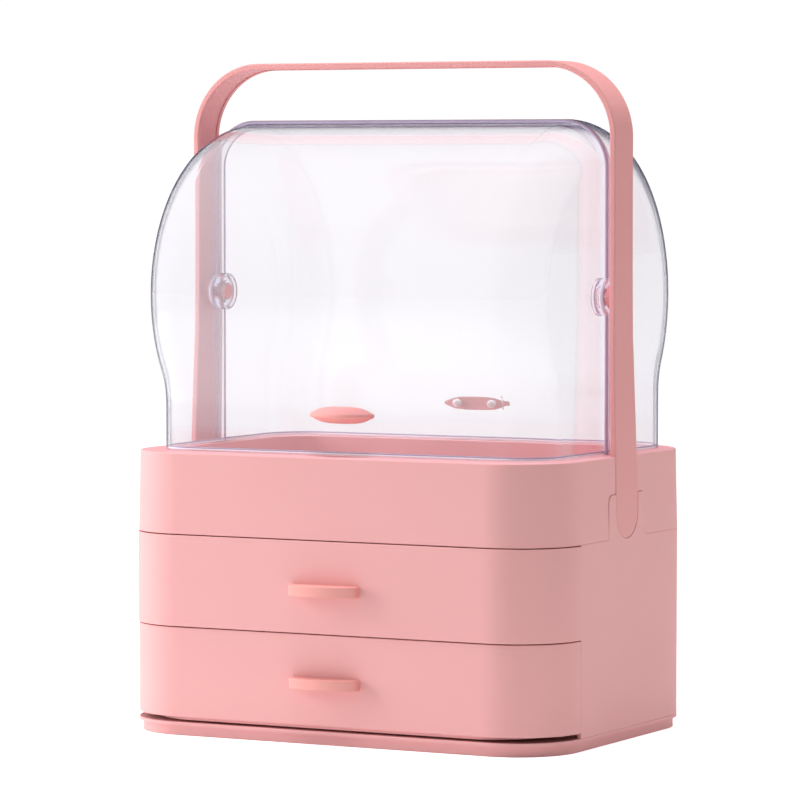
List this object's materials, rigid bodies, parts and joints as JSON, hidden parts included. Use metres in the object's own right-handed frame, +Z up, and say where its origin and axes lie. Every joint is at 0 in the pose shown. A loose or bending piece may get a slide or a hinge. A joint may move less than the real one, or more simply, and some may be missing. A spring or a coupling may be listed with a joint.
{
  "type": "makeup storage case",
  "caption": "Rounded vanity case with wrap-front drawers, a sunk top tray under a clear dome of nested swinging doors, and a fixed arched carrying handle.",
  "frame": {"origin": "middle of the case's footprint, on the surface that the plinth stands on; the pulls reach further forward than anything reaches back, so this is not the middle of the bounding box", "axes": "+Z up, -Y the side that the drawers open to, +X to the right of someone facing the drawers"},
  "size_m": [0.281, 0.2123, 0.386],
  "materials": {
    "case_pink": "gloss",
    "handle_pink": "gloss",
    "drawer_pink": "gloss",
    "tub_pink": "gloss",
    "grip_pink": "gloss",
    "clear_dome": "clear gloss",
    "screw_steel": "zinc plated"
  },
  "bodies": {
    "case": {"base_plate": "case_pink", "cabinet_shell": "case_pink", "mid_shelf": "case_pink", "top_tray": "case_pink", "handle": "handle_pink", "base_screws": "screw_steel", "tray_screws": "screw_steel", "handle_screws": "screw_steel", "left_pivot_pin": "handle_pink", "right_pivot_pin": "handle_pink"},
    "front_door": {"front_door_shell": "clear_dome", "front_door_knob": "grip_pink", "front_knob_screws": "screw_steel"},
    "rear_door": {"rear_door_shell": "clear_dome", "rear_door_knob": "grip_pink", "rear_knob_screws": "screw_steel"},
    "upper_drawer": {"upper_drawer_tub": "tub_pink", "upper_drawer_front": "drawer_pink", "upper_drawer_pull": "grip_pink", "upper_pull_screws": "screw_steel"},
    "lower_drawer": {"lower_drawer_tub": "tub_pink", "lower_drawer_front": "drawer_pink", "lower_drawer_pull": "grip_pink", "lower_pull_screws": "screw_steel"}
  },
  "joints": [
    {"name": "front_door_swing", "type": "hinge", "parent": "case", "child": "front_door", "pos_m": [0, 0, 0.252], "axis": [-1, 0, 0], "range_deg": [0, 55]},
    {"name": "rear_door_swing", "type": "hinge", "parent": "case", "child": "rear_door", "pos_m": [0, 0, 0.252], "axis": [1, 0, 0], "range_deg": [0, 55]},
    {"name": "upper_drawer_slide", "type": "slide", "parent": "case", "child": "upper_drawer", "axis": [0, -1, 0], "range_m": [0, 0.12]},
    {"name": "lower_drawer_slide", "type": "slide", "parent": "case", "child": "lower_drawer", "axis": [0, -1, 0], "range_m": [0, 0.12]}
  ]
}
